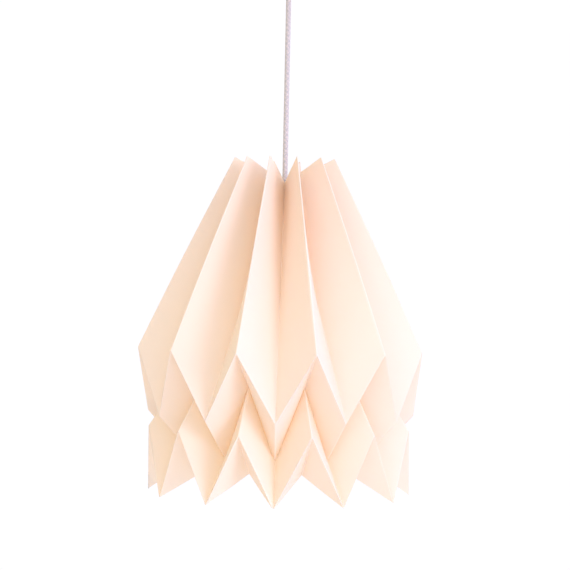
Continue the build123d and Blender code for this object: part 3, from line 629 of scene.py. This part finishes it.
def tube_points(path, radii, sides, closed=False):
    """Ring points round a path, without twist; radii is a function of the ring and the angle."""
    path = [Vector(p) for p in path]
    count = len(path)
    points = []
    side = None
    for i, centre in enumerate(path):
        after = path[(i + 1) % count] if closed else path[min(i + 1, count - 1)]
        before = path[i - 1] if closed else path[max(i - 1, 0)]
        along = (after - before).normalized()
        if side is None:
            side = along.orthogonal().normalized()
        side = (side - along * side.dot(along)).normalized()
        up = along.cross(side)
        for k in range(sides):
            angle = tau * k / sides
            points.append(centre + (side * cos(angle) + up * sin(angle)) * radii(i, angle))
    return points


def ring_faces(rings, sides, closed=False, capped=True):
    """Faces that join rings of points, with flat ends on an open tube."""
    faces = []
    last = rings if closed else rings - 1
    for i in range(last):
        j = (i + 1) % rings
        for k in range(sides):
            n = (k + 1) % sides
            faces.append((i * sides + k, i * sides + n, j * sides + n, j * sides + k))
    if capped and not closed:
        faces.append(tuple(reversed(range(sides))))
        faces.append(tuple((rings - 1) * sides + k for k in range(sides)))
    return faces


# ---------------------------------------------------------------- crease lattice of the shade
def on_plane(angle, r, z, aside=0.0):
    """Point at a radius and height in the radial plane at an angle, and a distance to its left."""
    return Vector((r * cos(angle) - aside * sin(angle), r * sin(angle) + aside * cos(angle), z))


def reach(angle, a, from_a, b, from_b, outer):
    """(r, z) of the point in a radial plane at given distances from two points."""
    along, across = on_plane(angle, 1, 0), on_plane(angle, 0, 0, 1)
    ar, az, an = a.dot(along), a.z, a.dot(across)
    br, bz, bn = b.dot(along), b.z, b.dot(across)
    qa, qb = from_a**2 - an**2, from_b**2 - bn**2
    gap = hypot(br - ar, bz - az)
    run = (gap**2 + qa - qb) / (2 * gap)
    rise = sqrt(qa - run**2)
    ur, uz = (br - ar) / gap, (bz - az) / gap
    both = [(ar + ur * run - s * uz * rise, az + uz * run + s * ur * rise) for s in (1, -1)]
    return max(both) if outer else min(both)


def crease_lattice():
    """(radius, height) corners of a ridge fold and of a valley fold, from the top edge down."""
    top = SHADE_HIGH.z
    diagonal = SQUARE * sqrt(2)
    valley = [(NECK_R, top - NECK_DROP)]
    neck_side = NECK_R * sin(HALF_STEP)
    top_r = NECK_R * cos(HALF_STEP) + sqrt(SQUARE**2 - NECK_DROP**2 - neck_side**2)
    drop = sqrt((LONG_SQUARES * SQUARE) ** 2 - (SHOULDER_R - top_r) ** 2)
    ridge = [(top_r, top), (SHOULDER_R, top - drop)]

    def on_ridge(i):
        """Corner of the ridge fold, as a point."""
        return on_plane(0, *ridge[i])

    def on_valley(i):
        """Corner of the valley fold, as a point."""
        return on_plane(HALF_STEP, *valley[i])

    long_side = (LONG_SQUARES + 1) * SQUARE
    ends = (on_valley(0), long_side, on_ridge(1), diagonal)
    first = [reach(HALF_STEP, *ends, outer) for outer in (True, False)]
    valley.append(min(first, key=lambda point: point[1]))
    ridge.append(reach(0, on_ridge(1), SQUARE, on_valley(1), SQUARE, False))
    valley.append(reach(HALF_STEP, on_valley(1), SQUARE, on_ridge(2), diagonal, False))
    ridge.append(reach(0, on_ridge(2), SQUARE, on_valley(2), SQUARE, True))
    valley.append(reach(HALF_STEP, on_valley(2), SQUARE, on_ridge(3), diagonal, True))
    ridge.append(reach(0, on_ridge(3), SQUARE, on_valley(3), SQUARE, False))
    return ridge, valley + valley[-1:]


RIDGE, VALLEY = crease_lattice()


def stations(count, close):
    """Shares from 0 to 1 with a close pair at each end, so that a fold's curve stays narrow."""
    middle = [i / count for i in range(1, count)]
    return [0.0, close, close * 4] + middle + [1 - close * 4, 1 - close, 1.0]


ACROSS = stations(PANEL_PARTS, SHORT_CLOSE)
DOWN = [stations(LONG_PARTS, LONG_CLOSE)] + [stations(SHORT_PARTS, SHORT_CLOSE)] * (BANDS - 1)


def fold_rows():
    """(band, share down the band) of each row of points, from the top edge down."""
    rows = [(band, share) for band in range(BANDS) for share in DOWN[band][:-1]]
    return rows + [(BANDS - 1, 1.0)]


FOLD_ROWS = fold_rows()
ROWS = len(FOLD_ROWS)


def strayed(kind, number, row, looks):
    """A fold corner's small sideways and outward errors."""
    if row == 0:
        return 0.0, 0.0
    per_fold, per_row, start = SEED_STEP
    seed = Vector((number * per_fold + (RIDGE_SEED if kind == "ridge" else 0.0), row * per_row, start))
    most = looks.wander * STRAY_SHARE
    return noise.noise(seed) * most, noise.noise(seed + Vector(OUTWARD_SEED)) * most


def fold_corners(kind, number, aside, looks):
    """Corners of one edge of a fold's strip, counted round from the front valley."""
    profile = RIDGE if kind == "ridge" else VALLEY
    angle = FRONT + number * HALF_STEP
    corners = []
    for row, (r, z) in enumerate(profile):
        if kind == "valley" and row == len(profile) - 1:
            corners.append(corners[-1].copy())
            continue
        side, out = strayed(kind, number % (2 * PLEATS), row, looks)
        corners.append(on_plane(angle, r + out, z, aside + side))
    return corners


def bowed(a, b, share, row, looks):
    """Point on a fold's stretch; the long stretches bow a little outwards."""
    point = a.lerp(b, share)
    if row == 0:
        point += Vector((point.x, point.y, 0)).normalized() * looks.belly * sin(pi * share)
    return point


def fold_line(corners, looks):
    """Points down one edge of a fold."""
    return [bowed(corners[band], corners[band + 1], share, band, looks) for band, share in FOLD_ROWS]


def cross_mask(band, share):
    """1 on a cross fold and 0 away from it."""
    near = min(share if band > 0 else 1.0, 1 - share if band < BANDS - 1 else 1.0)
    return max(0.0, 1 - near / (LONG_MASK_REACH if band == 0 else FOLD_MASK_REACH))


CROSS_MASK = [cross_mask(band, share) for band, share in FOLD_ROWS]
# A cross fold turns the folds below it over.
CROWN_SIGN = [1 if band % 2 == 0 else -1 for band, _ in FOLD_ROWS]


def sheet_columns(first, looks):
    """Columns of points from bare edge to glue flap, each with its fold mask and its shift."""
    columns = []

    def panel(left, right, shares, shift=0.0):
        """Columns of points from one fold to the next."""
        for share in shares:
            points = [a.lerp(b, share) for a, b in zip(left, right)]
            near = min(share, 1 - share)
            edge = max(0.0, 1 - near / FOLD_MASK_REACH)
            columns.append((points, [max(edge, m) for m in CROSS_MASK], shift))

    def strip_middle(left, right, kind):
        """Crown of a fold, which stands out of its narrow strip."""
        rise = CROWN_RISE * (left[0] - right[0]).length * (1 if kind == "ridge" else -1)
        points = []
        for a, b, sign in zip(left, right, CROWN_SIGN):
            out = Vector((a.x + b.x, a.y + b.y, 0)).normalized()
            points.append((a + b) / 2 + out * rise * sign)
        columns.append((points, [1.0] * ROWS, 0.0))

    def edge_of(kind, number, side, width):
        """Points down the edge of a fold's strip on one side of its middle."""
        return fold_line(fold_corners(kind, number, side * width / 2, looks), looks)

    for number in range(first, first + PLEATS, 2):
        ridge_near = edge_of("ridge", number + 1, -1, RIDGE_W)
        ridge_far = edge_of("ridge", number + 1, 1, RIDGE_W)
        valley_near = edge_of("valley", number + 2, -1, VALLEY_W)
        valley_far = edge_of("valley", number + 2, 1, VALLEY_W)
        panel(edge_of("valley", number, 1, VALLEY_W), ridge_near, ACROSS)
        strip_middle(ridge_near, ridge_far, "ridge")
        panel(ridge_far, valley_near, ACROSS)
        if number + 2 < first + PLEATS:
            strip_middle(valley_near, valley_far, "valley")
    flap_shares = [FLAP_W / SQUARE * share for share in FLAP_SHARES]
    panel(valley_far, edge_of("ridge", first + PLEATS + 1, -1, RIDGE_W), flap_shares, shift=FLAP_BEHIND)
    return columns


def folded_sheet(name, node, first, material, looks):
    """One folded sheet, with its paper's thickness and its glue flap behind the next sheet."""
    columns = sheet_columns(first, looks)
    points = [p for column, _, _ in columns for p in column]
    masks = [m for _, mask, _ in columns for m in mask]
    faces = []
    for i in range(len(columns) - 1):
        for j in range(ROWS - 1):
            a, b = i * ROWS + j, (i + 1) * ROWS + j
            faces.append((a, a + 1, b + 1, b))
    piece = new_piece(name, points, faces, material, "shade", [node], {"fold": masks})
    shift_flap(piece.data, columns)
    clean_mesh(piece.data)
    ripple(piece.data)
    thicken = piece.modifiers.new("paper thickness", "SOLIDIFY")
    thicken.thickness = PAPER_T
    thicken.offset = 0.0
    apply_modifiers(piece)
    return piece


def shift_flap(mesh, columns):
    """Moves the flap's columns behind the panel that they are glued to.

    The first one borrows the second one's normal, which is clear of the fold.
    """
    normals = [v.normal.copy() for v in mesh.vertices]
    for i, (_, _, shift) in enumerate(columns):
        if shift:
            for j in range(ROWS):
                clear = max(i, len(columns) - len(FLAP_SHARES) + 1) * ROWS + j
                mesh.vertices[i * ROWS + j].co -= normals[clear] * shift


def clean_mesh(mesh):
    """Joins doubled points at the folds that end early."""
    grid = bmesh.new()
    grid.from_mesh(mesh)
    bmesh.ops.remove_doubles(grid, verts=grid.verts, dist=JOIN_WITHIN)
    bmesh.ops.dissolve_degenerate(grid, edges=grid.edges, dist=COLLAPSED)
    grid.to_mesh(mesh)
    grid.free()


def ripple(mesh):
    """Soft waves in the open panels, none on the folds."""
    values = np.zeros(len(mesh.vertices), np.float32)
    mesh.attributes["fold"].data.foreach_get("value", values)
    moves = []
    for vertex in mesh.vertices:
        calm = 1.0 - float(values[vertex.index])
        moves.append(vertex.normal * noise.noise(vertex.co * RIPPLE_SCALE) * RIPPLE_HEIGHT * calm)
    for vertex, move in zip(mesh.vertices, moves):
        vertex.co += move


def apply_modifiers(piece):
    """Replaces a piece's mesh by its evaluated mesh."""
    graph = bpy.context.evaluated_depsgraph_get()
    done = bpy.data.meshes.new_from_object(
        piece.evaluated_get(graph), preserve_all_data_layers=True, depsgraph=graph
    )
    old = piece.data
    piece.modifiers.clear()
    piece.data = done
    bpy.data.meshes.remove(old)


# ---------------------------------------------------------------- operators
class LAMP_OT_fold_shade(bpy.types.Operator):
    """Folds the two paper sheets of the shade"""

    bl_idname = "lamp.fold_shade"
    bl_label = "Fold Shade"

    def execute(self, context):
        looks = context.scene.paper_looks
        paper = paper_material(looks)
        folded_sheet("paper_front", "shade_sheet_front", -PLEATS // 2, paper, looks)
        folded_sheet("paper_back", "shade_sheet_back", PLEATS // 2, paper, looks)
        return {"FINISHED"}


def two_plies(twists):
    """Radius factor of two twisted plies at a share along the string and an angle round it."""
    return lambda share, angle: 1 - PLY_DEPTH + PLY_DEPTH * abs(cos(angle + tau * twists * share))


def twisted_piece(name, node, path, radius, sides, twists, cotton, closed=False):
    """String along a path, with a layer that says where a ply stands out; it also picks the darker cotton in
    the hollows between the plies, as painted shade.
    """
    rings = len(path)
    plies = two_plies(twists)
    points = tube_points(path, lambda i, angle: radius * plies(i / rings, angle), sides, closed)
    crown = [plies(i / rings, tau * k / sides) for i in range(rings) for k in range(sides)]
    # The strand layer is the ply height, so the hollows between the plies take the darker cotton: painted
    # shade.
    layers = {"strand": crown, "crown": crown}
    faces = ring_faces(rings, sides, closed)
    return new_piece(name, points, faces, cotton, "shade", [node], layers)


class LAMP_OT_tie_string(bpy.types.Operator):
    """Makes the twisted neck string and its knot"""

    bl_idname = "lamp.tie_string"
    bl_label = "Tie Neck String"

    def execute(self, context):
        # Lighter and darker cotton; the darker one is painted shade in the hollows between the plies.
        cotton = yarn_material("string_cotton", (0.93, 0.80, 0.69), (0.88, 0.74, 0.63), 0.2)
        string_r = (STRING_HIGH.z - STRING_LOW.z) / 2
        loop_r = STRING_HIGH.x - string_r
        middle = (STRING_HIGH.z + STRING_LOW.z) / 2
        loop = [on_plane(tau * i / LOOP_RINGS, loop_r, middle) for i in range(LOOP_RINGS)]
        twisted_piece(
            "string_loop", "neck_string", loop, string_r, LOOP_SIDES, LOOP_TWISTS, cotton, closed=True
        )
        strand_r = STRAND_SHARE * string_r
        knot_r = (KNOT_HIGH.x - KNOT_LOW.x) / 2 - strand_r
        centre = Vector((0, loop_r + string_r + knot_r + strand_r, middle))
        path = self.knot_path(centre, knot_r)
        twisted_piece("string_knot", "neck_knot", path, strand_r, KNOT_SIDES, KNOT_TWISTS, cotton)
        return {"FINISHED"}

    def knot_path(self, centre, knot_r):
        """Line of an overhand knot at the rear, with its two tails down the fold."""
        turn = []
        for i in range(KNOT_STEPS):
            t = -KNOT_LAP + (tau + 2 * KNOT_LAP) * i / (KNOT_STEPS - 1)
            wide = knot_r * (2 + cos(1.5 * t)) / 3
            turn.append(centre + Vector((wide * cos(t), KNOT_FLAT * knot_r * sin(1.5 * t), wide * sin(t))))
        return self.tail(turn[0], -1)[::-1] + turn + self.tail(turn[-1], 1)

    def tail(self, start, sign):
        """Points down one tail, which sways a little to its own side."""
        lean = Vector((0, TAIL_LEAN, -1)).normalized() * (KNOT_HIGH.z - KNOT_LOW.z) * TAIL_SHARE
        return [
            start + lean * k / TAIL_STEPS + Vector((TAIL_SWAY * sin(k / 5) * sign, 0, 0))
            for k in range(1, TAIL_STEPS + 1)
        ]


def braid(angle, length, lay):
    """Height and strand of a plain two-way braid at an angle round the cord and a length along it."""
    left = (angle / tau + length / lay) * BRAID_YARNS
    right = (angle / tau - length / lay) * BRAID_YARNS
    left_yarn, right_yarn = floor(left), floor(right)
    left_round = cos(pi * (left - left_yarn - 0.5))
    right_round = cos(pi * (right - right_yarn - 0.5))
    over = right_round * (1 if (left_yarn + right_yarn) % 2 == 0 else -1)
    left_top = left_round**0.5 * YARN_ROUND + YARN_OVER * over
    right_top = right_round**0.5 * YARN_ROUND - YARN_OVER * over * left_round
    if left_top > right_top:
        return left_top, LIGHT_STRAND if left_yarn % 3 == 0 else DARK_STRAND
    return right_top, MIDDLE_STRAND if right_yarn % 4 == 1 else LIGHT_STRAND


class LAMP_OT_braid_cord(bpy.types.Operator):
    """Braids the textile cord along its straight route"""

    bl_idname = "lamp.braid_cord"
    bl_label = "Braid Cord"

    def execute(self, context):
        looks = context.scene.cord_looks
        low, high = Vector((0, 0, CORD_LOW.z)), Vector((0, 0, CORD_HIGH.z))
        line = self.route_line([low, (low + high) / 2, high])
        length = (high - low).length
        path = [low.lerp(high, i / (BRAID_RINGS - 1)) for i in range(BRAID_RINGS)]

        def weave(i, angle):
            """Height and strand of the braid at a ring and an angle."""
            return braid(angle, length * i / (BRAID_RINGS - 1), looks.lay)

        def radius(i, angle):
            """Cord's radius at a ring and an angle."""
            return CORD_R * (BRAID_LOW + (1 - BRAID_LOW) * weave(i, angle)[0])

        points = tube_points(path, radius, BRAID_SIDES)
        woven = [weave(i, tau * k / BRAID_SIDES) for i in range(BRAID_RINGS) for k in range(BRAID_SIDES)]
        # The crown layer also drives the painted shade in the hollows between the yarns.
        layers = {"strand": [strand for _, strand in woven], "crown": [height for height, _ in woven]}
        cloth = yarn_material("cord_braid", looks.light_yarn, looks.dark_yarn, 0.35)
        faces = ring_faces(BRAID_RINGS, BRAID_SIDES)
        piece = new_piece(
            "braided_cord", points, faces, cloth, "pendant", ["textile_cord"], layers
        )
        return {"FINISHED"}

    def route_line(self, route):
        """Points down the cord's smooth line, read from its own curve."""
        curve = bpy.data.curves.new("cord_route", "CURVE")
        curve.dimensions = "3D"
        spline = curve.splines.new("NURBS")
        spline.points.add(len(route) - 1)
        for point, place in zip(spline.points, route):
            point.co = (*place, 1.0)
        spline.order_u = 3
        spline.use_endpoint_u = True
        spline.resolution_u = 24
        guide = bpy.data.objects.new("cord_route", curve)
        bpy.context.scene.collection.objects.link(guide)
        bpy.context.view_layer.update()
        mesh = bpy.data.meshes.new_from_object(guide)
        line = [v.co.copy() for v in mesh.vertices]
        bpy.data.meshes.remove(mesh)
        bpy.data.objects.remove(guide)
        return line


def thread_tube(name, node, body, material, shouldered):
    """Rolled round thread of a lampholder shell or a bulb base; a base has a shoulder at its top."""
    low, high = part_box(node)
    angles = [tau * k / THREAD_SIDES for k in range(THREAD_SIDES)]
    rings = int((high.z - low.z) / THREAD_STEP)
    heights = [low.z + (high.z - low.z) * i / rings for i in range(rings + 1)]

    def radius(z, angle, wall):
        """Radius of the thread, which fades out towards both ends."""
        fade = max(0.0, min(1.0, (z - low.z) / THREAD_FADE, (high.z - z) / THREAD_FADE))
        wave = 0.5 - 0.5 * cos(tau * z / THREAD_PITCH - angle)
        return high.x - wall - THREAD_DEPTH * wave * fade

    points = []
    for wall, order in ((0.0, heights), (THREAD_WALL, heights[::-1])):
        for z in order:
            points += [on_plane(angle, radius(z, angle, wall), z) for angle in angles]
    faces = ring_faces(2 * (rings + 1), THREAD_SIDES, closed=True)
    if shouldered:
        rim, top = rings * THREAD_SIDES, len(points)
        points += [on_plane(angle, high.x - SHOULDER_IN, high.z) for angle in angles]
        for k in range(THREAD_SIDES):
            n = (k + 1) % THREAD_SIDES
            faces.append((rim + k, rim + n, top + n, top + k))
    return new_piece(name, points, faces, material, body, [node])


class LAMP_OT_finish_fittings(bpy.types.Operator):
    """Gives the rose, lampholder and bulb their finishes and rolls their threads"""

    bl_idname = "lamp.finish_fittings"
    bl_label = "Finish Fittings"

    def execute(self, context):
        slots = {row["node"]: row["material_slot"] for row in frame["record"]["subparts"]}
        finishes = build_materials()
        for node, obj in NODES.items():
            finish = finishes.get(slots[node])
            if finish is None or obj.hide_render:
                continue
            obj.data.materials.clear()
            obj.data.materials.append(finish)
        for name, node, body, slot, shouldered in (
            ("bulb_base_thread", "bulb_screw_cap", "bulb_base", "bulb_cap_metal", True),
            ("holder_shell_thread", "screw_shell", "pendant", "brass", False),
        ):
            thread_tube(name, node, body, finishes[slot], shouldered)
        return {"FINISHED"}


class LAMP_OT_set_stage(bpy.types.Operator):
    """Sets the pale floor, the soft light and the camera"""

    bl_idname = "lamp.set_stage"
    bl_label = "Set Stage"

    def execute(self, context):
        looks = context.scene.stage_looks
        self.lay_floor()
        self.hang_lights(context.scene, looks)
        self.place_camera(context.scene, looks)
        return {"FINISHED"}

    def lay_floor(self):
        """Pale floor far below the lamp."""
        material, tree, surface, _ = new_material("pale_floor")
        wire_effect(
            tree, surface, "speckle", 0.05, FLOOR_BUMP, Colour=(0.93, 0.93, 0.93, 1), Grain_Size=60.0,
            Mottle=0.01, Dust=0.0, Roughness=0.8, Roughness_Spread=0.05,
        )
        mesh = bpy.data.meshes.new("floor")
        signs = ((-1, -1), (1, -1), (1, 1), (-1, 1))
        corners = [(across * FLOOR_HALF, along * FLOOR_HALF, FLOOR_Z) for across, along in signs]
        mesh.from_pydata(corners, [], [(0, 1, 2, 3)])
        mesh.materials.append(material)
        floor_piece = bpy.data.objects.new("floor", mesh)
        bpy.context.scene.collection.objects.link(floor_piece)

    def hang_lights(self, scene, looks):
        """Room that is cool and bright at the right and warm and dim at the left, and three soft lamps."""
        world = bpy.data.worlds.new("soft_room")
        world.use_nodes = True
        tree = world.node_tree
        background = tree.nodes["Background"]
        place = add_node(tree, "ShaderNodeTexCoord").outputs["Generated"]
        toward = Vector(BRIGHT_SIDE).normalized()
        links = {0: place, 1: tuple(toward)}
        side = add_node(tree, "ShaderNodeVectorMath", links, operation="DOT_PRODUCT").outputs["Value"]
        middle = rgba(looks.middle)
        dim = mixed(tree, ramp(tree, side, WARM_FROM, WARM_TO), rgba(looks.warm_side), middle)
        room = mixed(tree, ramp(tree, side, COOL_FROM, COOL_TO), dim, rgba(looks.cool_side))
        seen = add_node(tree, "ShaderNodeLightPath").outputs["Is Camera Ray"]
        tree.links.new(mixed(tree, seen, room, middle), background.inputs["Color"])
        scene.world = world
        centre = (SHADE_LOW + SHADE_HIGH) / 2
        centre.y = 0
        for name, (offset, size, share, colour) in LAMPS.items():
            data = bpy.data.lights.new(name, "AREA")
            data.energy, data.size, data.color = looks.key_power * share, size, colour
            lamp = bpy.data.objects.new(name, data)
            lamp.location = centre + Vector(offset)
            lamp.rotation_euler = (centre - lamp.location).to_track_quat("-Z", "Y").to_euler()
            scene.collection.objects.link(lamp)

    def place_camera(self, scene, looks):
        """Long lens level with the upper part of the shade, looking slightly down."""
        data = bpy.data.cameras.new("camera")
        data.sensor_width = SENSOR_WIDTH
        data.lens = LENS
        data.clip_end = FAR_CLIP
        camera = bpy.data.objects.new("camera", data)
        scene.collection.objects.link(camera)
        back = Vector((sin(looks.turn), -cos(looks.turn), 0))
        right = Vector((cos(looks.turn), sin(looks.turn), 0))
        start = right * EYE_ASIDE + Vector((0, 0, SHADE_HIGH.z - EYE_BELOW_TOP))
        eye = start + back * looks.distance
        target = start - Vector((0, 0, EYE_DROP))
        aim = (target - eye).to_track_quat("-Z", "Y").to_matrix().to_4x4()
        camera.matrix_world = Matrix.Translation(eye) @ aim @ Matrix.Rotation(looks.roll, 4, "Z")
        scene.camera = camera
        scene.view_settings.view_transform = "Standard"
        scene.cycles.max_bounces = LIGHT_BOUNCES
        scene.cycles.diffuse_bounces = LIGHT_BOUNCES
        scene.cycles.transmission_bounces = LIGHT_BOUNCES


class LAMP_PT_builder(bpy.types.Panel):
    """Buttons and settings of the lamp"""

    bl_label = "Paper Lamp"
    bl_idname = "LAMP_PT_builder"
    bl_space_type = "VIEW_3D"
    bl_region_type = "UI"
    bl_category = "Paper Lamp"

    def draw(self, context):
        """Draws each group of settings in a box, and the buttons below."""
        layout = self.layout
        for group_name, settings in SETTINGS.items():
            box = layout.box()
            for field in settings.__annotations__:
                box.prop(getattr(context.scene, group_name), field)
        for operator in OPERATORS:
            layout.operator(operator.bl_idname)


OPERATORS = (
    LAMP_OT_fold_shade,
    LAMP_OT_tie_string,
    LAMP_OT_braid_cord,
    LAMP_OT_finish_fittings,
    LAMP_OT_set_stage,
)
CLASSES = (*SETTINGS.values(), *OPERATORS, LAMP_PT_builder)


def register():
    """Adds the classes and hangs the settings on the scene."""
    for cls in CLASSES:
        bpy.utils.register_class(cls)
    for group_name, settings in SETTINGS.items():
        setattr(bpy.types.Scene, group_name, PointerProperty(type=settings))


def unregister():
    """Takes the settings and the classes away again."""
    for group_name in SETTINGS:
        delattr(bpy.types.Scene, group_name)
    for cls in reversed(CLASSES):
        bpy.utils.unregister_class(cls)


def main():
    """Builds the whole lamp."""
    register()
    bpy.ops.lamp.fold_shade()
    bpy.ops.lamp.tie_string()
    bpy.ops.lamp.braid_cord()
    bpy.ops.lamp.finish_fittings()
    bpy.ops.lamp.set_stage()


if __name__ == "__main__":
    main()
